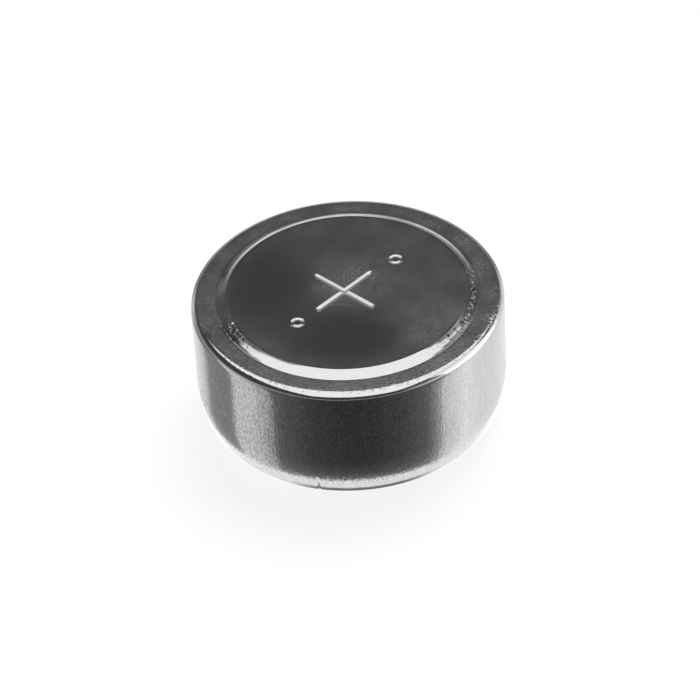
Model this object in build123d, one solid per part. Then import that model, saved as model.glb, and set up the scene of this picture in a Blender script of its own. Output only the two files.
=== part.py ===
from build123d import *
import math
import os

# Button cell of the 11.6 by 5.4 mm size, standing on its negative cap.
# Millimetres, +Z up, origin at the centre of the cap's flat contact face.

# Overall sizes
can_diameter = 11.6
cell_height = 5.4
seat_clearance = 0.01       # left between pieces that are pressed together

# Positive can: drawn sheet cup, closed end up
can_sheet = 0.2
rim_width = 0.94            # from the outer wall in to the foot of the plateau
rim_corner = 0.3            # the can's bends are round outside and plain corners inside
plateau_rise = 0.155
plateau_slope = 0.39        # width of the slope seen from above
plateau_corner = 0.3
foot_bend = 0.15

# Crimp: the wall is swaged in by a long arc, then turned under by a tight one
swage_height = 1.85
swage_radius = 5.5
crimp_corner = 0.55
lip_length = 0.35           # flat of the lip, inside the tight arc

# Polarity mark: a stamped plus and two small stamped rings
plus_length = 2.95
plus_width = 0.3
plus_floor = 0.06           # width of the flat at the bottom of a groove
plus_depth = 0.07
plus_bearing = 45
plus_shift = -0.1           # the stamp stands this far off the can's axis, along X
circlet_spacing = 5.04
circlet_bearing = 42
circlet_diameter = 0.42     # of the groove's middle line
circlet_groove = 0.17
circlet_depth = 0.045

# Negative cap: drawn sheet cup, closed end down, rim hemmed outwards
cap_sheet = 0.18
cap_protrusion = 0.245      # contact face below the crimp
cap_height = 2.45
cap_chamfer = 0.2           # round the contact face
hem_lift = 0.3              # folded edge above the shoulder
fold_chamfer = 0.08

# Sealing gasket
gasket_wall = 0.25          # at the tight arc of the crimp
gasket_web = 0.25           # between the crimped lip and the cap's shoulder
gasket_foot = 0.25          # over the cap's rim
gasket_overhang = 0.3       # how far the foot reaches in past the rim
seal_ring = 0.14            # gasket edge that shows inside the lip
neck_gap = 0.18             # open groove between that edge and the cap's neck

# Cell contents
pellet_bevel = 0.25
separator_thickness = 0.1
absorbent_thickness = 0.3

# Can, worked out
can_radius = can_diameter / 2
rim_level = cell_height - plateau_rise
foot_radius = can_radius - rim_width
plateau_radius = foot_radius - plateau_slope
slope_angle = math.atan2(plateau_rise, plateau_slope)
swage_top = cap_protrusion + swage_height
swage_turn = math.degrees(math.asin((swage_height - crimp_corner) / (swage_radius - crimp_corner)))
crimp_radius = can_radius - swage_radius + (swage_radius - crimp_corner) * math.cos(math.radians(swage_turn))
lip_radius = crimp_radius - lip_length
bore_radius = can_radius - can_sheet

# Cap, worked out from the crimp that holds it
shoulder_level = cap_protrusion + can_sheet + gasket_web + 2 * seat_clearance
hem_radius = crimp_radius + crimp_corner - can_sheet - gasket_wall
cap_radius = hem_radius - cap_sheet
hem_level = shoulder_level + hem_lift
ring_radius = lip_radius - seal_ring
neck_radius = ring_radius - neck_gap

# Stack from the cap's rim up to the pellet
foot_level = cap_height + seat_clearance
foot_top = foot_level + gasket_foot
foot_inner_radius = cap_radius - cap_sheet - gasket_overhang
separator_level = foot_top + seat_clearance
pellet_level = separator_level + separator_thickness + seat_clearance
absorbent_level = foot_top - absorbent_thickness


def turned(outline):
    """Solid of revolution about Z, from a closed outline drawn as radius and height."""
    return revolve(Plane.XZ * make_face(outline), axis=Axis.Z)


def can_top(inset, wall_foot):
    """Corners of the plateau, slope, rim and wall at a depth below the can's outer skin."""
    slope_shift = inset * math.tan(slope_angle / 2)
    return [(0, cell_height - inset), (plateau_radius - slope_shift, cell_height - inset),
            (foot_radius - slope_shift, rim_level - inset), (can_radius - inset, rim_level - inset),
            (can_radius - inset, wall_foot)]


def crimp_inside(inset):
    """Corners of the crimp at a depth below the can's outer skin, on tangents to its two arcs."""
    swage_half = math.radians(swage_turn) / 2
    corner_quarter = math.radians(90 - swage_turn) / 4
    reach = (crimp_corner - inset) / math.cos(corner_quarter)
    corners = [(can_radius - inset, swage_top - (swage_radius - inset) * math.tan(swage_half))]
    for bearing in (2 * swage_half + corner_quarter, 2 * swage_half + 3 * corner_quarter):
        corners.append((crimp_radius + reach * math.cos(bearing),
                        cap_protrusion + crimp_corner - reach * math.sin(bearing)))
    return corners


def cap_skin(inset, wall_top):
    """Corners of the face, neck, shoulder and wall at a depth below the cap's outer skin."""
    chamfer = cap_chamfer - inset * (2 - math.sqrt(2))
    return [(0, inset), (neck_radius - inset - chamfer, inset), (neck_radius - inset, inset + chamfer),
            (neck_radius - inset, shoulder_level + inset), (cap_radius - inset, shoulder_level + inset),
            (cap_radius - inset, wall_top)]


def stamped_plus():
    """Two crossed grooves with sloping walls and round ends, cut down from the plateau."""
    arms = []
    for bearing in (plus_bearing, plus_bearing + 90):
        mouth = Rot(Z=bearing) * SlotOverall(plus_length, plus_width)
        floor = Rot(Z=bearing) * SlotOverall(plus_length - plus_width + plus_floor, plus_floor)
        arms.append(loft([mouth, Pos(Z=-plus_depth) * floor]))
    return Pos(plus_shift, 0, cell_height) * (arms[0] + arms[1])


def stamped_circlets():
    """Two ring grooves of V section in the plateau, one each side of the plus."""
    middle = circlet_diameter / 2
    mouth = Polyline((middle - circlet_groove, circlet_depth), (middle, -circlet_depth),
                     (middle + circlet_groove, circlet_depth), close=True)
    spots = PolarLocations(circlet_spacing / 2, 2, start_angle=circlet_bearing)
    return [Pos(Z=cell_height) * spot * turned(mouth) for spot in spots]


def positive_can():
    """Sheet cup drawn between its outer and inner skins, turned, then stamped."""
    top = FilletPolyline(*can_top(0, swage_top), radius=[plateau_corner, foot_bend, rim_corner])
    swage = CenterArc((can_radius - swage_radius, swage_top), swage_radius, 0, -swage_turn)
    corner = CenterArc((crimp_radius, cap_protrusion + crimp_corner), crimp_corner, -swage_turn, swage_turn - 90)
    inside = Polyline((crimp_radius, cap_protrusion), (lip_radius, cap_protrusion),
                      (lip_radius, cap_protrusion + can_sheet), *reversed(crimp_inside(can_sheet)),
                      *reversed(can_top(can_sheet, swage_top)[:-1]), (0, cell_height))
    return turned([*top.edges(), swage, corner, *inside.edges()]) - stamped_plus() - stamped_circlets()


def negative_cap():
    """Sheet cup with a raised contact face and a shoulder, its rim folded back over the wall."""
    return turned(Polyline(
        *cap_skin(0, hem_level), (hem_radius, hem_level), (hem_radius, cap_height - fold_chamfer),
        (hem_radius - fold_chamfer, cap_height), (cap_radius - cap_sheet + fold_chamfer, cap_height),
        *reversed(cap_skin(cap_sheet, cap_height - fold_chamfer)), close=True))


def sealing_gasket():
    """Ring of J section that fills the space between the can and the cap."""
    inset = can_sheet + seat_clearance
    outer_radius = can_radius - inset
    inner_radius = hem_radius + seat_clearance
    web_top = shoulder_level - seat_clearance
    return turned(Polyline(
        *crimp_inside(inset), (ring_radius, cap_protrusion + inset), (ring_radius, web_top),
        (cap_radius + seat_clearance, web_top), (inner_radius, hem_level - seat_clearance),
        (inner_radius, foot_level), (foot_inner_radius, foot_level), (foot_inner_radius, foot_top),
        (outer_radius, foot_top), close=True))


def cathode_pellet():
    """Tablet pressed into the closed end of the can, with a bevel round its open face."""
    inset = can_sheet + seat_clearance
    radius = can_radius - inset
    return turned(Polyline(*can_top(inset, pellet_level + pellet_bevel),
                           (radius - pellet_bevel, pellet_level), (0, pellet_level), close=True))


def separator_film():
    """Thin disc across the can, pinched between the pellet and the gasket's foot."""
    return Pos(Z=separator_level) * Cylinder(
        bore_radius - seat_clearance, separator_thickness, align=(Align.CENTER, Align.CENTER, Align.MIN))


def absorbent_disc():
    """Fibre disc inside the gasket's foot, against the separator."""
    return Pos(Z=absorbent_level) * Cylinder(
        foot_inner_radius - seat_clearance, absorbent_thickness, align=(Align.CENTER, Align.CENTER, Align.MIN))


def anode_gel():
    """Paste that fills the cap from its face up to the absorbent disc."""
    inset = cap_sheet + seat_clearance
    top = absorbent_level - seat_clearance
    return turned(Polyline(*cap_skin(inset, top), (0, top), close=True))


pieces = [positive_can, sealing_gasket, negative_cap, cathode_pellet, separator_film, absorbent_disc, anode_gel]

os.makedirs("parts", exist_ok=True)
for make in pieces:
    export_step(make(), f"parts/{make.__name__}.step")
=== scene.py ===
import math
import bpy
import numpy as np
from mathutils import Matrix, Vector


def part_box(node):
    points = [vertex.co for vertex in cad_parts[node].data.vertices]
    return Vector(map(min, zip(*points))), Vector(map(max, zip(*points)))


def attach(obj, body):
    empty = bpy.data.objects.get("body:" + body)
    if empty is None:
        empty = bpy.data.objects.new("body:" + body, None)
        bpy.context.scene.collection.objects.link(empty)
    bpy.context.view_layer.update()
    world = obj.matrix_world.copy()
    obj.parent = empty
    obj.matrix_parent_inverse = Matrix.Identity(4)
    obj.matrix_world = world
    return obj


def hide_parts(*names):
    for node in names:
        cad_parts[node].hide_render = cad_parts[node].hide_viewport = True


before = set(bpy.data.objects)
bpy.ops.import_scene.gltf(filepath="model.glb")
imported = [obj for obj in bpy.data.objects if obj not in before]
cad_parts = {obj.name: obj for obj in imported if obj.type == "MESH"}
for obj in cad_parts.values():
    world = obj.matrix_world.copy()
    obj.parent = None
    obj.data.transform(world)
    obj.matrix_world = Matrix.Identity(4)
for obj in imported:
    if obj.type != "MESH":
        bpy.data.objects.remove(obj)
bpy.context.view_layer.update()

# Positive can. A cup deep-drawn from nickel-plated steel strip, closed end up, with a raised contact
# plateau that carries a stamped plus and two small stamped rings. Its open edge is swaged in and crimped
# over the gasket. Lengths in this file are millimetres until a mesh is made.

MM = 0.001
can_low, can_high = np.array(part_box("positive_can")) / MM
can_radius = can_high[0]
cell_height = can_high[2]
crimp_level = can_low[2]
can_sheet = 0.2
rim_width = 0.94
rim_corner = 0.3
plateau_rise = 0.155
brow_bend = 0.14
foot_bend = 0.14
foot_shift = 0.043
slope_turn = math.radians(21.5)
swage_height = 1.85
swage_radius = 5.5
crimp_corner = 0.55
lip_length = 0.35
lip_round = 0.04
quarter = math.pi / 2

rim_level = cell_height - plateau_rise
foot_flat = can_radius - rim_width + foot_shift
bends = brow_bend + foot_bend
slope_width = (bends * math.sin(slope_turn)
               + (plateau_rise - bends * (1 - math.cos(slope_turn))) / math.tan(slope_turn))
flat_radius = foot_flat - slope_width
swage_top = crimp_level + swage_height
swage_turn = math.asin((swage_height - crimp_corner) / (swage_radius - crimp_corner))
crimp_radius = can_radius - swage_radius + (swage_radius - crimp_corner) * math.cos(swage_turn)
lip_radius = crimp_radius - lip_length


def arc(centre, radius, start, end, count):
    """Points on a circle in the plane of radius and height, evenly turned from one angle to another."""
    turn = np.linspace(start, end, count)
    return np.column_stack([centre[0] + radius * np.cos(turn), centre[1] + radius * np.sin(turn)])


def run(start, end, count):
    """Evenly spaced points on a straight line, without its two ends."""
    share = np.linspace(0, 1, count + 2)[1:-1, None]
    return np.array(start) + share * (np.array(end) - np.array(start))


def crimp_arcs(inset, swage_count, crimp_count):
    """The long arc that narrows the wall and the tight one that turns it under, at a depth below the
    can's outer skin: both keep their centres and lose the depth from their radii."""
    swage = arc((can_radius - swage_radius, swage_top), swage_radius - inset, 0, -swage_turn, swage_count)
    turn_under = arc((crimp_radius, crimp_level + crimp_corner), crimp_corner - inset,
                     -swage_turn, -quarter, crimp_count)
    return np.vstack([swage, turn_under[1:]])


def can_skin(inset, bend, slope, annulus, rim, wall, swage, crimp):
    """Section of the can at a depth below its outer skin, with so many points on each stretch. Every
    bend keeps its centre, so those over the hollow lose the depth and the plateau's foot gains it."""
    brow = arc((flat_radius, cell_height - brow_bend), brow_bend - inset,
               quarter, quarter - slope_turn, bend)
    foot = arc((foot_flat, rim_level + foot_bend), foot_bend + inset,
               -quarter - slope_turn, -quarter, bend)
    corner = arc((can_radius - rim_corner, rim_level - rim_corner), rim_corner - inset, quarter, 0, rim)
    seam = crimp_arcs(inset, swage, crimp)
    return np.vstack([brow, run(brow[-1], foot[0], slope), foot, run(foot[-1], corner[0], annulus),
                      corner, run(corner[-1], seam[0], wall), seam])


outer_counts = {"bend": 5, "slope": 5, "annulus": 10, "rim": 15, "wall": 6, "swage": 11, "crimp": 12}
outer_skin = can_skin(0, **outer_counts)
inner_skin = can_skin(can_sheet, bend=3, slope=0, annulus=0, rim=4, wall=0, swage=4, crimp=5)
lip_inside = crimp_level + can_sheet
lip_edge = np.vstack([
    run(outer_skin[-1], (lip_radius + lip_round, crimp_level), 2),
    arc((lip_radius + lip_round, crimp_level + lip_round), lip_round, -quarter, -2 * quarter, 4),
    arc((lip_radius + lip_round, lip_inside - lip_round), lip_round, 2 * quarter, quarter, 4)])
can_profile = np.vstack([outer_skin, lip_edge, inner_skin[::-1]])

# The stamped marks, with the arms of the plus on the two diagonals. The grooves are deeper towards the
# front by the lean, as a stamp that stood a little out of true leaves them.
plus_length = 2.95
plus_width = 0.21
plus_floor = 0.03
plus_depth = 0.043
plus_bearing = math.radians(45)
plus_shift = -0.1
plus_lean = 0.1
ring_reach = 2.52
ring_bearing = math.radians(42)
ring_radius = 0.21
ring_groove = 0.13
ring_depth = 0.032


def near(place, centre, reach):
    """One around a centre, falling to nothing past a reach, as one over one plus an eighth power."""
    return 1 / (1 + (np.abs(place - centre) / reach) ** 8)


def graded(half_width, coarse, fine, *dense):
    """Positions across a width, closer together round each dense centre and reach. The running count
    of grid lines is the integral of one over the spacing, read back at whole numbers."""
    place = np.linspace(-half_width, half_width, 4001)
    share = np.max([near(place, centre, reach) for centre, reach in dense], axis=0)
    density = 1 / coarse + (1 / fine - 1 / coarse) * share
    count = np.concatenate([[0], np.cumsum((density[1:] + density[:-1]) / 2 * np.diff(place))])
    return np.interp(np.linspace(0, count[-1], int(round(count[-1])) + 1), count, place)


# Grid lines are close together along the arms, round the rings and where the nick comes down the wall
coarse_step = 0.066
fine_step = 0.024
nick_bearing = math.radians(-105.1)
nick_line = flat_radius * math.sin(nick_bearing - plus_bearing) * math.sqrt(2)
along = graded(flat_radius, coarse_step, fine_step, (0, 0.2), (ring_reach, 0.36), (-ring_reach, 0.36))
across = graded(flat_radius, coarse_step, fine_step, (0, 0.5), (nick_line, 0.1))


def disc_grid(along, across):
    """A square grid pressed into the plateau's disc, each axis shortened by the square root of one less
    half the other's square, then turned so that its axes lie on the arms of the plus."""
    u, v = np.meshgrid(along / flat_radius, across / flat_radius, indexing="ij")
    a = flat_radius * u * np.sqrt(1 - v ** 2 / 2)
    b = flat_radius * v * np.sqrt(1 - u ** 2 / 2)
    c, s = math.cos(plus_bearing), math.sin(plus_bearing)
    return a * c - b * s, a * s + b * c


def groove(x, y, bearing):
    """Depth of one arm of the plus: full on its floor, sloping to nothing at its mouth, by the distance
    from a middle line that stops half a width short of each round end."""
    a = x * math.cos(bearing) + y * math.sin(bearing)
    b = y * math.cos(bearing) - x * math.sin(bearing)
    past_end = np.maximum(np.abs(a) - (plus_length - plus_width) / 2, 0)
    off_line = np.hypot(past_end, b)
    full_depth = plus_depth * (1 - plus_lean * np.tanh(y / plus_width))
    wall_slope = 2 * plus_depth / (plus_width - plus_floor)
    return np.clip((plus_floor / 2 - off_line) * wall_slope + full_depth, 0, full_depth)


def struck_ring(x, y, cx, cy):
    """Depth of a small ring: a V groove, deepest on a circle and rising to nothing half its width away."""
    off_line = np.abs(np.hypot(x - cx, y - cy) - ring_radius)
    return ring_depth * np.clip(1 - off_line / (ring_groove / 2), 0, 1)


def plateau_height(x, y):
    """Level of the plateau: flat, less the deeper of the two arms, less the two rings."""
    plus = np.maximum(groove(x - plus_shift, y, plus_bearing),
                      groove(x - plus_shift, y, plus_bearing + quarter))
    cx, cy = ring_reach * math.cos(ring_bearing), ring_reach * math.sin(ring_bearing)
    return cell_height - plus - struck_ring(x, y, cx, cy) - struck_ring(x, y, -cx, -cy)


def sheet_faces(number):
    """Quads between neighbours in a grid of point numbers."""
    corners = [number[:-1, :-1], number[1:, :-1], number[1:, 1:], number[:-1, 1:]]
    return np.stack(corners, -1).reshape(-1, 4)


def quads(first, second):
    """Quads between two closed loops of point numbers, the second outside or below the first."""
    return np.column_stack([first, second, np.roll(second, -1), np.roll(first, -1)])


grid_x, grid_y = disc_grid(along, across)
grid = np.column_stack([grid_x.ravel(), grid_y.ravel(), plateau_height(grid_x, grid_y).ravel()])
number = np.arange(grid_x.size).reshape(grid_x.shape)
border = np.concatenate([number[:-1, 0], number[-1, :-1], number[:0:-1, -1], number[0, :0:-1]])
border_bearing = np.arctan2(grid[border, 1], grid[border, 0])

# The rest of the section is carried round as hoops that start from the grid's border and end on a hub
hoop_r = np.repeat(can_profile[1:, 0], border.size)
hoop_z = np.repeat(can_profile[1:, 1], border.size)
hoop_b = np.tile(border_bearing, len(can_profile) - 1)
hoops = np.column_stack([hoop_r * np.cos(hoop_b), hoop_r * np.sin(hoop_b), hoop_z])
loops = np.vstack([border[None], len(grid) + np.arange(len(hoops)).reshape(-1, border.size)])
hoop_faces = np.vstack([quads(loops[i], loops[i + 1]) for i in range(len(loops) - 1)])
hub = len(grid) + len(hoops)
hub_faces = np.column_stack([loops[-1], np.full(border.size, hub), np.roll(loops[-1], -1)])
can_points = np.vstack([grid, hoops, [[0, 0, cell_height - can_sheet]]])
can_faces = sheet_faces(number).tolist() + hoop_faces.tolist() + hub_faces.tolist()

# Directions out of the outer skin, zero on the inside, for the wear that is pressed into the metal
path_step = np.gradient(outer_skin, axis=0)
profile_out = np.zeros_like(can_profile)
profile_out[:len(outer_skin)] = (np.column_stack([-path_step[:, 1], path_step[:, 0]])
                                 / np.linalg.norm(path_step, axis=1)[:, None])
out_r = np.repeat(profile_out[1:, 0], border.size)
out_z = np.repeat(profile_out[1:, 1], border.size)
can_out = np.vstack([
    np.tile([[0.0, 0.0, 1.0]], (len(grid), 1)),
    np.column_stack([out_r * np.cos(hoop_b), out_r * np.sin(hoop_b), out_z]), [[0, 0, 0]]])

# Knocks where cells rub against each other in a tray. Each row: how many, bearings in degrees, radii,
# widths and depths. They gather on the step at two sides and on the rim's right, and a few lie all round.
knock_zones = [
    (14, (-163, -140), (4.45, 4.62), (0.025, 0.06), (0.003, 0.010)),
    (8, (-163, -140), (4.70, 4.90), (0.025, 0.06), (0.003, 0.009)),
    (40, (-46, 8), (4.58, 4.80), (0.025, 0.065), (0.003, 0.012)),
    (20, (-36, 2), (5.44, 5.76), (0.03, 0.07), (0.004, 0.012)),
    (40, (-180, 180), (5.44, 5.74), (0.025, 0.05), (0.002, 0.006)),
]
draw = np.random.default_rng(11)
top_count = sum(outer_counts[stretch] for stretch in ("bend", "slope", "bend", "annulus", "rim"))
top_r, top_z = outer_skin[:top_count].T
rise = np.zeros(len(can_points))
for count, *spans in knock_zones:
    bearings, radii, widths, depths = [draw.uniform(*span, count) for span in spans]
    bearings = np.radians(bearings)
    spots = np.column_stack([radii * np.cos(bearings), radii * np.sin(bearings),
                             np.interp(radii, top_r, top_z, left=cell_height)])
    for spot, width, depth in zip(spots, widths, depths):
        rise -= depth * np.exp(-(np.linalg.norm(can_points - spot, axis=1) / width) ** 2)

# A nick scored down the swage at the front, as left by a chipped crimping tool
nick_width = 0.05
nick_depth = 0.035
nick_level = 0.65
nick_reach = 0.42
bearing_of = np.arctan2(can_points[:, 1], can_points[:, 0])
off_nick = (bearing_of - nick_bearing) * np.hypot(can_points[:, 0], can_points[:, 1])
rise -= nick_depth * np.exp(-(off_nick / nick_width) ** 2) * near(can_points[:, 2], nick_level, nick_reach)
can_points += can_out * rise[:, None]


def ramp(place, start, end):
    """Nothing before a start, one past an end and even between. The end may be the lower of the two."""
    return np.clip((place - start) / (end - start), 0, 1)


# Where each point lies: its bearing in degrees, with the front at -90, and the zones of the can's skin
x, y, z = can_points.T
radius_of = np.hypot(x, y)
around = np.degrees(bearing_of)
on_rim = ramp(radius_of, 4.7, 4.9)
on_slope = near(radius_of, foot_flat - slope_width / 2, slope_width / 2)
on_corner = ramp(radius_of, 5.46, 5.56)
on_wall = ramp(z, rim_level - 0.12, rim_level - 0.32)
on_top = z > rim_level - 0.05
at_front = ramp(around, -166, -160) * ramp(around, -24, -30)
at_back = ramp(around, 15, 75) * ramp(around, 165, 150)

# Haze from handling, as roughness. The plateau is glossiest at its left and its front and dullest round
# the plus. Each row: change of roughness, then middle and spread along X and Y. The rim is a little duller
# at its front and right, and the step and the rim's corner are glossy where they carry a bright line.
haze_spots = [
    (0.060, (-0.2, 0.5), (1.5, 1.0)),
    (-0.130, (-2.9, 0.5), (1.5, 1.9)),
    (-0.145, (-0.1, -2.7), (1.8, 1.3)),
    (0.042, (3.0, -2.3), (1.5, 1.5)),
]
haze = np.full(len(can_points), 0.193)
for change, (cx, cy), (spread_x, spread_y) in haze_spots:
    haze += change * np.exp(-((x - cx) / spread_x) ** 2 - ((y - cy) / spread_y) ** 2)
rim_haze = (0.213 + 0.031 * ramp(y, 0, -can_radius) + 0.008 * ramp(x, 0, can_radius)
            + 0.012 * near(radius_of, 4.95, 0.3) * ramp(y, 0, 3))
slope_haze = 0.20 - 0.11 * np.maximum(at_front, at_back)
corner_haze = 0.21 - 0.11 * at_front
wall_haze = 0.065
for zone, zone_haze in [(on_rim, rim_haze), (on_slope, slope_haze), (on_corner, corner_haze),
                        (on_wall, wall_haze)]:
    haze += (zone_haze - haze) * zone

# Pits and speckle on the wall, which the crimping tool has ironed out below
above_crimp = np.maximum(ramp(z, 0.8, 1.15), 0.2)
pitted = on_wall * above_crimp * (0.45 + 0.55 * ramp(z, 3.3, 1.8))
grained = on_wall * above_crimp * (0.2 + 0.8 * near(around, -113, 56))


def patches(*rows):
    """The strongest of some patches on the top, each a strength times how near a point is to a radius and
    to a bearing. Each row: strength, radius and its reach, bearing and its reach."""
    return np.max([strength * near(radius_of, radius, reach) * near(around, bearing, span)
                   for strength, radius, reach, bearing, span in rows], axis=0)


# Scuffed flecks on the rim's front and right and on the step, and grime in the step's foot at two sides
scuff = patches((1.0, 5.55, 0.09, -84, 50), (0.6, 5.64, 0.06, -20, 11), (1.0, 4.67, 0.08, -18, 22),
                (1.0, 4.72, 0.14, -38, 6), (0.8, 4.60, 0.11, -152, 9), (0.5, 4.66, 0.16, 32, 30))
scuff *= z > rim_level - 0.25
grime = patches((1.0, 4.67, 0.06, -17, 28), (0.4, 4.67, 0.06, -150, 12))

# Painted shade, kept in the film attribute, on the step and on the rim's corner at the back: it darkens
# their colour and reflections where they should mirror something dark. On the step it leaves an unshaded
# band at the front, which narrows to both ends, and a thin unshaded line at the back.
shade_start = 4.45
shade_end = 4.89
shade_fade = 0.03
on_step = (on_top * ramp(radius_of, shade_start, shade_start + shade_fade)
           * ramp(radius_of, shade_end, shade_end - shade_fade))
band_inside = np.interp(around, [-150, -135, -118, -105, -58, -36], [4.66, 4.58, 4.53, 4.45, 4.46, 4.68])
band_outside = np.interp(around, [-150, -135, -122, -60, -38], [4.70, 4.82, 4.92, 4.92, 4.70])
off_band = np.maximum(ramp(radius_of, band_inside, band_inside - shade_fade),
                      ramp(radius_of, band_outside, band_outside + shade_fade))
front_strength = np.interp(around, [-158, -148, -44, -34, -22, -5], [0, 0.95, 0.95, 0.75, 0.5, 0])
line_edge = np.interp(x / can_radius, [-1, 0, 1], [4.56, 4.74, 4.71])
off_line = ramp(radius_of, line_edge, line_edge + 0.04) * ramp(around, 5, 20) * ramp(around, 172, 162)
back_corner = (ramp(radius_of, 5.57, 5.62) * ramp(z, rim_level - 0.24, rim_level - 0.14)
               * ramp(around, 0, 14) * ramp(around, 180, 168))
# All of the film is painted shade, not dirt
film = np.maximum.reduce([
    front_strength * on_step * off_band, 0.88 * on_step * off_line, 0.7 * back_corner,
    patches((0.65, 4.565, 0.1, 38, 34), (0.33, 4.64, 0.2, 138, 22))])


def mesh_object(name, points, faces, **fields):
    """A smooth-shaded mesh in the object frame, from points in millimetres, lists of corner numbers and
    any fields with one value for each point."""
    mesh = bpy.data.meshes.new(name)
    mesh.from_pydata((np.asarray(points) * MM).tolist(), [], [list(f) for f in faces])
    mesh.polygons.foreach_set("use_smooth", np.ones(len(mesh.polygons), dtype=bool))
    mesh.set_sharp_from_angle(angle=math.radians(50))
    for field, values in fields.items():
        mesh.attributes.new(field, "FLOAT", "POINT").data.foreach_set("value", values.astype(np.float32))
    mesh.update()
    piece = bpy.data.objects.new(name, mesh)
    bpy.context.scene.collection.objects.link(piece)
    return piece


# The film field carries the painted shade on the step and the rim's corner
can = mesh_object("drawn_can", can_points, can_faces, haze=haze, scuff=scuff, wall=on_wall, pitted=pitted,
                  grained=grained, grime=grime, film=film)


def linear(hex_colour):
    """An sRGB hex colour as linear red, green and blue with full alpha."""
    parts = [int(hex_colour[i:i + 2], 16) / 255 for i in (0, 2, 4)]
    return [c / 12.92 if c <= 0.04045 else ((c + 0.055) / 1.055) ** 2.4 for c in parts] + [1]


def add(tree, kind, inputs=(), **settings):
    """One node with its settings, each input given a plain value or linked to a socket."""
    node = tree.nodes.new(kind)
    for name, value in settings.items():
        setattr(node, name, value)
    for socket, value in dict(inputs).items():
        if isinstance(value, bpy.types.NodeSocket):
            tree.links.new(value, node.inputs[socket])
        else:
            node.inputs[socket].default_value = value
    return node


def new_material(name):
    """An empty material with its output, and the object's own coordinates in millimetres."""
    material = bpy.data.materials.new(name)
    material.use_nodes = True
    tree = material.node_tree
    tree.nodes.clear()
    output = add(tree, "ShaderNodeOutputMaterial")
    place = add(tree, "ShaderNodeTexCoord").outputs["Object"]
    in_mm = add(tree, "ShaderNodeVectorMath", {0: place, 1: (1 / MM,) * 3}, operation="MULTIPLY")
    return material, tree, output, in_mm.outputs[0]


# Electroplated bright nickel on drawn steel: a mirror that has dulled a little. The wall keeps upright
# draw marks, orange peel and pits, and the top hairlines, a fine grain and a cloudy haze. Pits and grain
# are drawn as coarse as they need to be to show. Each row: pattern, size along X, Y and Z, turn, detail.
nickel_patterns = [
    ("cloud", (1.1, 1.1, 1.1), 0, 3.0),
    ("peel", (0.16, 0.16, 0.16), 0, 2.0),
    ("fleck", (0.10, 0.10, 0.10), 0, 1.0),
    ("draw_mark", (0.13, 0.13, 1.1), 0, 3.0),
    ("wall_grain", (0.07, 0.07, 0.13), 0, 1.0),
    ("hairline", (2.6, 0.035, 2.6), 23, 1.0),
    ("top_grain", (0.15, 0.07, 0.15), 12, 2.0),
]
# Each row: effect, the pattern it comes from, the span of that pattern that counts, what the span becomes
nickel_effects = [
    ("fleck", "fleck", (0.61, 0.70), (0.0, 1.0)),
    ("pit", "wall_grain", (0.48, 0.72), (0.0, 1.0)),
    ("speckle", "wall_grain", (0.3, 0.7), (0.28, -0.28)),
    ("hairline", "hairline", (0.66, 0.74), (0.0, 1.0)),
    ("top_grain", "top_grain", (0.3, 0.7), (0.82, 1.18)),
    ("cloud", "cloud", (0.25, 0.75), (0.85, 1.15)),
    ("grime", "peel", (0.42, 0.62), (0.0, 0.75)),
    ("worn", "draw_mark", (0.35, 0.65), (0.0, 0.35)),
]
nickel, tree, output, in_mm = new_material("bright_nickel_plate")
field = {name: add(tree, "ShaderNodeAttribute", attribute_name=name).outputs["Fac"]
         for name in ("haze", "scuff", "wall", "pitted", "grained", "grime", "film")}
pattern, effect = {}, {}
for name, sizes, turn, detail in nickel_patterns:
    spread = add(tree, "ShaderNodeMapping", {"Vector": in_mm, "Rotation": (0, 0, math.radians(turn)),
                                             "Scale": [1 / size for size in sizes]}).outputs[0]
    pattern[name] = add(tree, "ShaderNodeTexNoise", {
        "Vector": spread, "Scale": 1.0, "Detail": detail}).outputs[0]
for name, source, (low, high), (first, last) in nickel_effects:
    effect[name] = add(tree, "ShaderNodeMapRange", {
        0: pattern[source], 1: low, 2: high, 3: first, 4: last}).outputs[0]

# Roughness: the haze, clouded and grained, rougher in the pits and polished in the scuffed flecks
pit = add(tree, "ShaderNodeMath", {0: effect["pit"], 1: field["pitted"]}, operation="MULTIPLY").outputs[0]
rough = add(tree, "ShaderNodeMath", {
    0: field["haze"], 1: effect["cloud"]}, operation="MULTIPLY").outputs[0]
rough = add(tree, "ShaderNodeMath", {0: rough, 1: effect["top_grain"]}, operation="MULTIPLY").outputs[0]
rough = add(tree, "ShaderNodeMath", {0: pit, 1: 0.32, 2: rough}, operation="MULTIPLY_ADD").outputs[0]
rubbed = add(tree, "ShaderNodeMath", {
    0: field["scuff"], 1: effect["fleck"]}, operation="MULTIPLY").outputs[0]
crisp = add(tree, "ShaderNodeMapRange", {0: rubbed, 1: 0.0, 2: 1.0, 3: 1.0, 4: 0.3}).outputs[0]
rough = add(tree, "ShaderNodeMath", {0: rough, 1: crisp}, operation="MULTIPLY").outputs[0]

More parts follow.
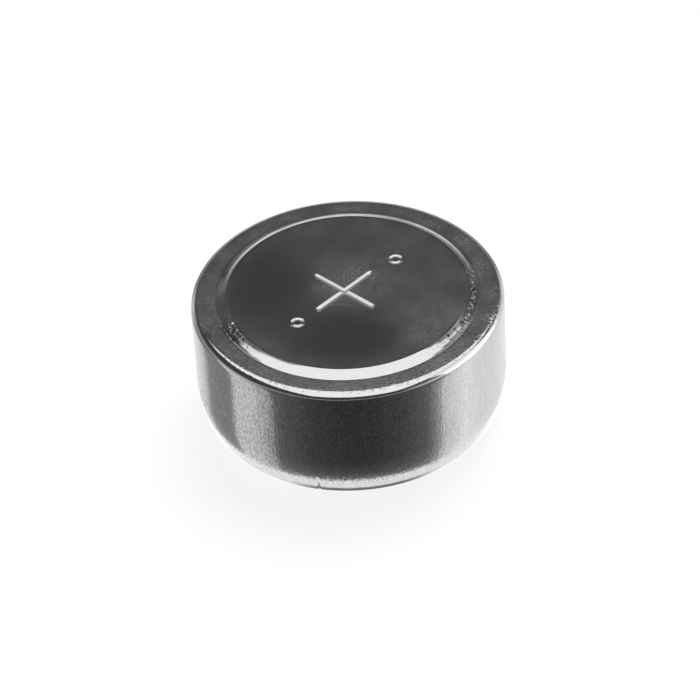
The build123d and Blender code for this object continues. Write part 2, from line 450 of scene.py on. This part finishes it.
# Four dull scratches in front of the plus. Each row: middle, slant in degrees and half length
scratches = [((-0.95, -0.62), -13, 1.5), ((-0.35, -0.80), -11, 0.9),
             ((-1.75, -0.35), -15, 0.7), ((0.6, -0.9), -6, 0.5)]
scratch_edge = 0.03
scratch_core = 0.005
scratch_rough = 0.045
top_only = add(tree, "ShaderNodeMath", {0: 1.0, 1: field["wall"]}, operation="SUBTRACT").outputs[0]
for (cx, cy), slant, half_length in scratches:
    laid = add(tree, "ShaderNodeMapping", {
        "Vector": in_mm, "Location": (cx, cy, 0), "Rotation": (0, 0, math.radians(slant))},
        vector_type="TEXTURE")
    from_middle = add(tree, "ShaderNodeSeparateXYZ", {0: laid.outputs[0]}).outputs
    lengthwise = add(tree, "ShaderNodeMath", {0: from_middle["X"]}, operation="ABSOLUTE").outputs[0]
    sideways = add(tree, "ShaderNodeMath", {0: from_middle["Y"]}, operation="ABSOLUTE").outputs[0]
    line = add(tree, "ShaderNodeMapRange", {
        0: sideways, 1: scratch_edge, 2: scratch_core, 3: 0.0, 4: scratch_rough}).outputs[0]
    ends = add(tree, "ShaderNodeMapRange", {
        0: lengthwise, 1: half_length, 2: half_length * 0.3, 3: 0.0, 4: 1.0}).outputs[0]
    mark = add(tree, "ShaderNodeMath", {0: line, 1: ends}, operation="MULTIPLY").outputs[0]
    rough = add(tree, "ShaderNodeMath", {
        0: mark, 1: top_only, 2: rough}, operation="MULTIPLY_ADD").outputs[0]

# Colour: nickel grey, darker along worn draw marks, speckled, dark under grime and dark under the film,
# which is painted shade. Grime and the painted shade also take the glare that metal has at a low angle, so
# they darken the specular tint and paint shade into the reflections too.
dirt_and_painted_shade = add(tree, "ShaderNodeMath", {
    0: effect["grime"], 1: field["grime"]}, operation="MULTIPLY").outputs[0]
# The film joined here is painted shade
dirt_and_painted_shade = add(tree, "ShaderNodeMath", {0: dirt_and_painted_shade, 1: field["film"]}, operation="MAXIMUM").outputs[0]
worn = add(tree, "ShaderNodeMath", {0: effect["worn"], 1: field["wall"]}, operation="MULTIPLY").outputs[0]
speckle = add(tree, "ShaderNodeMath", {
    0: effect["speckle"], 1: field["grained"], 2: 1.0}, operation="MULTIPLY_ADD").outputs[0]
plate = add(tree, "ShaderNodeMix", {
    0: effect["cloud"], 6: linear("C0C0C0"), 7: linear("B6B6B6")}, data_type="RGBA").outputs[2]
plate = add(tree, "ShaderNodeMix", {0: worn, 6: plate, 7: linear("A2A2A2")}, data_type="RGBA").outputs[2]
plate = add(tree, "ShaderNodeVectorMath", {0: plate, "Scale": speckle}, operation="SCALE").outputs[0]
plate = add(tree, "ShaderNodeMix", {0: dirt_and_painted_shade, 6: plate, 7: linear("4A4A4A")}, data_type="RGBA").outputs[2]
glare = add(tree, "ShaderNodeMix", {
    0: dirt_and_painted_shade, 6: linear("FFFFFF"), 7: linear("949494")}, data_type="RGBA").outputs[2]

# Relief: draw marks and orange peel on the wall, its pits, the scuffed flecks and the hairlines
relief = add(tree, "ShaderNodeMath", {
    0: pattern["draw_mark"], 1: pattern["peel"]}, operation="ADD").outputs[0]
relief = add(tree, "ShaderNodeMath", {0: relief, 1: field["wall"]}, operation="MULTIPLY").outputs[0]
combed = add(tree, "ShaderNodeMath", {
    0: effect["hairline"], 1: field["haze"]}, operation="MULTIPLY").outputs[0]
bump = add(tree, "ShaderNodeBump", {"Distance": 0.003 * MM, "Height": relief}).outputs[0]
for height, depth in [(pit, 0.003), (rubbed, 0.014), (combed, 0.0006)]:
    bump = add(tree, "ShaderNodeBump", {
        "Distance": depth * MM, "Height": height, "Normal": bump}).outputs[0]
shader = add(tree, "ShaderNodeBsdfPrincipled", {
    "Base Color": plate, "Specular Tint": glare, "Metallic": 1.0, "Roughness": rough, "Normal": bump})
tree.links.new(shader.outputs[0], output.inputs[0])
can.data.materials.append(nickel)
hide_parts("positive_can")
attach(can, "root")


# Sealing gasket. A ring of J section injection-moulded in natural nylon, slipped over the cap's folded
# rim before the can is crimped round it. Only its lower edge shows, inside the crimped lip.

seat_clearance = 0.01
gasket_web = 0.25
gasket_foot = 0.25
gasket_overhang = 0.3
seal_ring = 0.14
seal_round = 0.03
cap_sheet = 0.18
hem_lift = 0.3
cap_high = np.array(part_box("negative_cap"))[1] / MM
hem_radius, cap_height = cap_high[0], cap_high[2]
cap_radius = hem_radius - cap_sheet
seal_radius = lip_radius - seal_ring
seal_level = crimp_level + can_sheet + seat_clearance
shoulder_level = seal_level + gasket_web + seat_clearance
hem_level = shoulder_level + hem_lift
web_top = shoulder_level - seat_clearance
foot_level = cap_height + seat_clearance
foot_top = foot_level + gasket_foot
foot_inner = cap_radius - cap_sheet - gasket_overhang


def lathe(profile, turns, on_axis):
    """Points and faces of a section carried round the Z axis in equal steps. A section whose ends lie on
    the axis is shut there by fans, and any other is joined from its last point to its first."""
    bearing = np.arange(turns) * 2 * math.pi / turns
    swept = profile[1:-1] if on_axis else profile
    points = np.column_stack([np.outer(swept[:, 0], np.cos(bearing)).ravel(),
                              np.outer(swept[:, 0], np.sin(bearing)).ravel(),
                              np.repeat(swept[:, 1], turns)])
    loops = np.arange(len(points)).reshape(-1, turns)
    faces = [quads(loops[i], loops[i + 1]) for i in range(len(loops) - 1)]
    if not on_axis:
        return points, np.vstack(faces + [quads(loops[-1], loops[0])]).tolist()
    first, last = np.full(turns, len(points)), np.full(turns, len(points) + 1)
    fans = np.vstack([np.column_stack([first, loops[0], np.roll(loops[0], -1)]),
                      np.column_stack([loops[-1], last, np.roll(loops[-1], -1)])])
    ends = [[0, 0, profile[0, 1]], [0, 0, profile[-1, 1]]]
    return np.vstack([points, ends]), np.vstack(faces).tolist() + fans.tolist()


gasket_profile = np.vstack([
    [(can_radius - can_sheet - seat_clearance, foot_top)], crimp_arcs(can_sheet + seat_clearance, 6, 9),
    arc((seal_radius + seal_round, seal_level + seal_round), seal_round, -quarter, -2 * quarter, 5),
    arc((seal_radius + seal_round, web_top - seal_round), seal_round, 2 * quarter, quarter, 5),
    [(cap_radius + seat_clearance, web_top), (hem_radius + seat_clearance, hem_level - seat_clearance),
     (hem_radius + seat_clearance, foot_level), (foot_inner, foot_level), (foot_inner, foot_top)]])
gasket = mesh_object("moulded_gasket", *lathe(gasket_profile, 160, on_axis=False))

# Natural nylon, injection moulded: cream, waxy and a little see-through, with a faint mottle where it has
# taken up sealant and a fine spark-eroded texture from the mould.
mottle_size = 0.8
spark_size = 0.05
nylon, tree, output, in_mm = new_material("natural_nylon")
mottle = add(tree, "ShaderNodeTexNoise", {
    "Vector": in_mm, "Scale": 1 / mottle_size, "Detail": 2.0}).outputs[0]
spark = add(tree, "ShaderNodeTexNoise", {
    "Vector": in_mm, "Scale": 1 / spark_size, "Detail": 1.0}).outputs[0]
cream = add(tree, "ShaderNodeMix", {
    0: mottle, 6: linear("E2DCCB"), 7: linear("CFC6AE")}, data_type="RGBA").outputs[2]
waxy = add(tree, "ShaderNodeMapRange", {0: mottle, 1: 0.3, 2: 0.7, 3: 0.34, 4: 0.48}).outputs[0]
bump = add(tree, "ShaderNodeBump", {"Distance": 0.004 * MM, "Height": spark}).outputs[0]
shader = add(tree, "ShaderNodeBsdfPrincipled", {
    "Base Color": cream, "Roughness": waxy, "IOR": 1.53, "Normal": bump, "Subsurface Weight": 0.3,
    "Subsurface Radius": (0.4 * MM, 0.35 * MM, 0.25 * MM), "Subsurface Scale": 1.0})
tree.links.new(shader.outputs[0], output.inputs[0])
gasket.data.materials.append(nylon)
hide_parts("sealing_gasket")
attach(gasket, "root")


# Negative cap. A cup pressed from strip clad with nickel outside, its contact face standing below the
# crimp and its rim folded back over the wall. The gasket holds it off the can all round.

face_bend = 0.35
neck_bend = 0.15
shoulder_bend = 0.3
neck_gap = 0.18
hem_bevel = 0.02
neck_radius = seal_radius - neck_gap
fold_level = cap_height - cap_sheet


def cap_skin(inset, count):
    """Section of the cap at a depth below its outer skin, from the contact face's edge up to the wall.
    Every bend keeps its centre, so those over the hollow lose the depth and the neck's foot gains it."""
    edge = arc((neck_radius - face_bend, face_bend), face_bend - inset, -quarter, 0, count)
    neck = arc((neck_radius + neck_bend, shoulder_level - neck_bend), neck_bend + inset,
               2 * quarter, quarter, count)
    shoulder = arc((cap_radius - shoulder_bend, shoulder_level + shoulder_bend), shoulder_bend - inset,
                   -quarter, 0, count)
    return np.vstack([edge, neck, shoulder])


cap_profile = np.vstack([
    [(0, cap_sheet)], cap_skin(cap_sheet, 6), arc((cap_radius, fold_level), cap_sheet, 2 * quarter, 0, 11),
    [(hem_radius, hem_level + hem_bevel), (hem_radius - hem_bevel, hem_level)], cap_skin(0, 10)[::-1],
    run((neck_radius - face_bend, 0), (0, 0), 6), [(0, 0)]])
cap = mesh_object("pressed_cap", *lathe(cap_profile, 192, on_axis=True))

# Nickel-clad strip, pressed and tumbled: a satin mirror with fine scratches every way from handling and
# duller clouds where the contact face has been rubbed.
rub_size = 1.6
scratch_size = (2.2, 0.03, 2.2)
clad, tree, output, in_mm = new_material("tumbled_nickel_cladding")
rub = add(tree, "ShaderNodeTexNoise", {"Vector": in_mm, "Scale": 1 / rub_size, "Detail": 4.0}).outputs[0]
scratch = 0.0
for bearing in (17, 74, 131):
    lined = add(tree, "ShaderNodeMapping", {"Vector": in_mm, "Rotation": (0, 0, math.radians(bearing)),
                                            "Scale": [1 / size for size in scratch_size]}).outputs[0]
    lines = add(tree, "ShaderNodeTexNoise", {"Vector": lined, "Scale": 1.0, "Detail": 1.0}).outputs[0]
    cut = add(tree, "ShaderNodeMapRange", {0: lines, 1: 0.66, 2: 0.74, 3: 0.0, 4: 1.0}).outputs[0]
    scratch = add(tree, "ShaderNodeMath", {0: scratch, 1: cut}, operation="MAXIMUM").outputs[0]
satin = add(tree, "ShaderNodeMapRange", {0: rub, 1: 0.3, 2: 0.7, 3: 0.18, 4: 0.32}).outputs[0]
grey = add(tree, "ShaderNodeMix", {
    0: rub, 6: linear("C6C4C0"), 7: linear("B2B0AB")}, data_type="RGBA").outputs[2]
bump = add(tree, "ShaderNodeBump", {"Distance": 0.0012 * MM, "Height": scratch}).outputs[0]
shader = add(tree, "ShaderNodeBsdfPrincipled", {
    "Base Color": grey, "Metallic": 1.0, "Roughness": satin, "Normal": bump})
tree.links.new(shader.outputs[0], output.inputs[0])
cap.data.materials.append(clad)
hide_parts("negative_cap")
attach(cap, "root")


# Contents of the cell. A pressed cathode pellet, a separator film, an absorbent disc and the anode paste,
# stacked in the can before it is crimped shut. None shows, so the solids stay and only take materials.

grain_size = (0.07, 0.07, 0.07)
fibre_size = (0.9, 0.04, 0.9)
powder_size = (0.11, 0.11, 0.11)


def dress(node, colours, sizes, roughness, relief, metallic=0.0):
    """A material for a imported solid: two colours and two roughnesses mixed by one noise pattern of a size
    in millimetres along each axis, with a relief in millimetres."""
    material, tree, output, in_mm = new_material(node + "_finish")
    spread = add(tree, "ShaderNodeMapping", {"Vector": in_mm, "Rotation": (0, 0, math.radians(31)),
                                             "Scale": [1 / size for size in sizes]}).outputs[0]
    grains = add(tree, "ShaderNodeTexNoise", {"Vector": spread, "Scale": 1.0, "Detail": 3.0}).outputs[0]
    mixed = add(tree, "ShaderNodeMapRange", {0: grains, 1: 0.35, 2: 0.65, 3: 0.0, 4: 1.0}).outputs[0]
    colour = add(tree, "ShaderNodeMix", {
        0: mixed, 6: linear(colours[0]), 7: linear(colours[1])}, data_type="RGBA").outputs[2]
    rough = add(tree, "ShaderNodeMapRange", {
        0: grains, 1: 0.35, 2: 0.65, 3: roughness[0], 4: roughness[1]}).outputs[0]
    bump = add(tree, "ShaderNodeBump", {"Distance": relief * MM, "Height": grains}).outputs[0]
    shader = add(tree, "ShaderNodeBsdfPrincipled", {
        "Base Color": colour, "Metallic": metallic, "Roughness": rough, "Normal": bump})
    tree.links.new(shader.outputs[0], output.inputs[0])
    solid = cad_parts[node].data
    solid.materials.clear()
    solid.materials.append(material)


# Manganese dioxide and graphite powder, pressed: near black, with a dull graphite sheen between the grains
dress("cathode_pellet", ("1C1C1E", "34343A"), grain_size, (0.45, 0.75), 0.010)
# Regenerated cellulose film: pale, smooth and faintly fibrous
dress("separator_film", ("E6E0D0", "D6CEBA"), fibre_size, (0.30, 0.45), 0.002)
# Non-woven cellulose soaked in electrolyte: white, matt and felted
dress("absorbent_disc", ("E9E7E0", "D2CFC4"), fibre_size, (0.70, 0.90), 0.012)
# Zinc powder in a clear gel: grey metal grains under a wet gloss
dress("anode_gel", ("8E9194", "5F6367"), powder_size, (0.25, 0.50), 0.015, metallic=0.6)


# Floor, light and camera. A plain pale paper floor that keeps the shadow, a soft key lamp from above and
# behind, and a weak fill. The metal mirrors neither lamp but two panels, a graded card, a bright ring
# round the cell's foot and a dark room that glows low down, as in a tent for photographing small parts.

floor_half = 3000.0
floor_glow = 0.88
floor = mesh_object("floor", np.array([[-1, -1, 0], [1, -1, 0], [1, 1, 0], [-1, 1, 0]]) * floor_half,
                    [(0, 1, 2, 3)])
# Matt white paper: to the eye and in reflections it is mostly its own white, so the shadow stays faint
paper, tree, output, in_mm = new_material("pale_paper_sweep")
lit = add(tree, "ShaderNodeBsdfPrincipled", {
    "Base Color": linear("E6E6E6"), "Roughness": 0.9, "Specular IOR Level": 0.0}).outputs[0]
glow = add(tree, "ShaderNodeEmission", {"Color": linear("FFFFFF"), "Strength": 1.0}).outputs[0]
path = add(tree, "ShaderNodeLightPath").outputs
seen = path["Is Camera Ray"]
for ray in ("Is Glossy Ray", "Is Transmission Ray"):
    seen = add(tree, "ShaderNodeMath", {0: seen, 1: path[ray]}, operation="MAXIMUM").outputs[0]
share = add(tree, "ShaderNodeMath", {0: seen, 1: floor_glow}, operation="MULTIPLY").outputs[0]
backlit = add(tree, "ShaderNodeMixShader", {0: share, 1: lit, 2: glow})
tree.links.new(backlit.outputs[0], output.inputs[0])
floor.data.materials.append(paper)


def reflector(name, x, y, brightness):
    """A card just above the floor on a grid of places, seen only by reflections, with a brightness at
    each of them."""
    card_lift = 0.02
    card = mesh_object(name, np.column_stack([x.ravel(), y.ravel(), np.full(x.size, card_lift)]),
                       sheet_faces(np.arange(x.size).reshape(x.shape)).tolist(), tone=brightness.ravel())
    material, tree, output, in_mm = new_material(name)
    tone = add(tree, "ShaderNodeAttribute", attribute_name="tone").outputs["Fac"]
    shader = add(tree, "ShaderNodeEmission", {"Color": tone, "Strength": 1.0})
    tree.links.new(shader.outputs[0], output.inputs[0])
    card.data.materials.append(material)
    card.visible_camera = card.visible_diffuse = card.visible_shadow = False


# The card in front of the cell. A wall point at some bearing from the front mirrors the ray that leaves
# its foot at twice that bearing, so brightness set by bearing stands as upright bands on the wall. Close
# to the cell the card is as bright as the ring, which lies under the swage and darkens only at its front.
foot_bright = 1.5
card_bands = np.array([
    (-80, 1.0), (-72, 0.95), (-69, 0.85), (-65.5, 0.40), (-52, 0.35), (-50.2, 0.42), (-49, 1.05),
    (-40, 0.98), (-35, 0.72), (-31.6, 0.55), (-30.4, 0.22), (-26, 0.16), (-16, 0.09), (-4, 0.06),
    (6, 0.065), (14, 0.09), (20, 0.12), (28, 0.20), (30, 0.36), (32.8, 0.5), (33.8, 0.9), (38, 1.2),
    (46, 1.5), (54, 1.3), (80, 1.1)])
card_turn = np.linspace(-80, 80, 321)
card_reach = np.concatenate([np.linspace(0.15, 2.0, 38), np.geomspace(2.2, 2500, 40)])
turn, away = np.meshgrid(np.radians(card_turn), card_reach, indexing="ij")
band = np.interp(card_turn, *card_bands.T)[:, None]
by_cell = np.interp(away, [0.40, 0.62, 1.0, 2.2], [1, 0.10, 0.04, 0])
reflector("graded_card", can_radius * np.sin(turn) + away * np.sin(2 * turn),
          -can_radius * np.cos(turn) - away * np.cos(2 * turn), band + (foot_bright - band) * by_cell)

ring_dip = 1.2
turn, reach = np.meshgrid(np.radians(np.linspace(-180, 180, 181)), [4.45, 5.74, 5.84, 5.95], indexing="ij")
front_edge = np.interp(reach, [5.74, 5.84], [1, 0]) * near(np.degrees(turn), 2, 26)
reflector("bright_ring", reach * np.sin(turn), -reach * np.cos(turn), foot_bright - ring_dip * front_edge)

# The room: dark overhead, with a glow that fades upwards. Left, right and back have a glow of their own.
# Each row: axis, the span along it over which that side takes over, the span of its fade, its radiance.
room_dark = 0.087
front_fade = (0.03, 0.13)
front_glow = 0.75
room_sides = [
    ("X", (-0.5, -0.8), (0.10, 0.38), 0.55),
    ("X", (0.5, 0.8), (0.20, 0.60), 1.0),
    ("Y", (0.6, 0.9), (0.0, 0.42), 1.95),
]
world = bpy.data.worlds.new("studio")
bpy.context.scene.world = world
world.use_nodes = True
tree = world.node_tree
direction = add(tree, "ShaderNodeTexCoord").outputs["Generated"]
towards = add(tree, "ShaderNodeSeparateXYZ", {0: direction}).outputs
room = add(tree, "ShaderNodeMapRange", {
    0: towards["Z"], 1: front_fade[0], 2: front_fade[1], 3: front_glow, 4: room_dark},
    interpolation_type="SMOOTHSTEP").outputs[0]
for axis, (start, end), (low, high), radiance in room_sides:
    facing = add(tree, "ShaderNodeMapRange", {
        0: towards[axis], 1: start, 2: end, 3: 0.0, 4: 1.0}).outputs[0]
    wall_glow = add(tree, "ShaderNodeMapRange", {
        0: towards["Z"], 1: low, 2: high, 3: radiance, 4: room_dark},
        interpolation_type="SMOOTHSTEP").outputs[0]
    room = add(tree, "ShaderNodeMix", {0: facing, 2: room, 3: wall_glow}, data_type="FLOAT").outputs[0]
tree.links.new(room, tree.nodes["Background"].inputs["Color"])


def soft_sun(name, bearing, elevation, energy, spread):
    """A wide sun lamp from a bearing clockwise of straight behind and a height, both in degrees, which
    reflections don't see."""
    lamp = bpy.data.lights.new(name, "SUN")
    lamp.energy = energy
    lamp.angle = math.radians(spread)
    stand = bpy.data.objects.new(name, lamp)
    b, e = math.radians(bearing), math.radians(elevation)
    come_from = Vector((math.sin(b) * math.cos(e), math.cos(b) * math.cos(e), math.sin(e)))
    stand.matrix_world = (-come_from).to_track_quat("-Z", "Y").to_matrix().to_4x4()
    stand.visible_glossy = False
    bpy.context.scene.collection.objects.link(stand)


def panel(name, centre, aim, size, radiance):
    """A rectangular lamp that faces a point and that only reflections see: its power is its radiance
    times pi times its area."""
    lamp = bpy.data.lights.new(name, "AREA")
    lamp.shape = "RECTANGLE"
    lamp.size, lamp.size_y = size[0] * MM, size[1] * MM
    lamp.energy = radiance * math.pi * lamp.size * lamp.size_y
    stand = bpy.data.objects.new(name, lamp)
    turn = (Vector(aim) - Vector(centre)).to_track_quat("-Z", "Y").to_matrix().to_4x4()
    stand.matrix_world = Matrix.Translation(Vector(centre) * MM) @ turn
    stand.visible_diffuse = False
    stand.visible_camera = False
    bpy.context.scene.collection.objects.link(stand)


soft_sun("key_lamp", bearing=25, elevation=62, energy=4.2, spread=35)
soft_sun("fill_lamp", bearing=0, elevation=90, energy=0.35, spread=90)
panel("overhead_panel", (5, -32, 200), (5, -32, 0), (272, 396), 1.65)
panel("right_panel", (260, 0, 160), (0, 0, 160), (260, 340), 1.6)

# The camera looks along +Y and down, rolled a little, with the rim's centre at its place in the picture
view_elevation = math.radians(39.1)
view_roll = math.radians(-3.36)
view_distance = 145.0
rim_pixel = (347.19, 294.15)
picture_width = 700
pixels_per_mm = 27.08
sight = Vector((0, math.cos(view_elevation), -math.sin(view_elevation)))
level_right = Vector((1, 0, 0))
level_up = level_right.cross(sight)
camera_right = level_right * math.cos(view_roll) + level_up * math.sin(view_roll)
camera_up = level_up * math.cos(view_roll) - level_right * math.sin(view_roll)
rim_centre = Vector((0, 0, rim_level))
camera_place = rim_centre - sight * view_distance
aim = (rim_centre + camera_right * (picture_width / 2 - rim_pixel[0]) / pixels_per_mm
       - camera_up * (picture_width / 2 - rim_pixel[1]) / pixels_per_mm)
axis_back = (camera_place - aim).normalized()
axis_right = (camera_right - axis_back * camera_right.dot(axis_back)).normalized()
axis_up = axis_back.cross(axis_right)
camera = bpy.data.cameras.new("camera")
camera.lens = camera.sensor_width * pixels_per_mm * view_distance / picture_width
camera.clip_start = 0.001
viewer = bpy.data.objects.new("camera", camera)
viewer.matrix_world = (Matrix.Translation(camera_place * MM)
                       @ Matrix((axis_right, axis_up, axis_back)).transposed().to_4x4())
bpy.context.scene.collection.objects.link(viewer)
bpy.context.scene.camera = viewer
bpy.context.scene.view_settings.view_transform = "Standard"
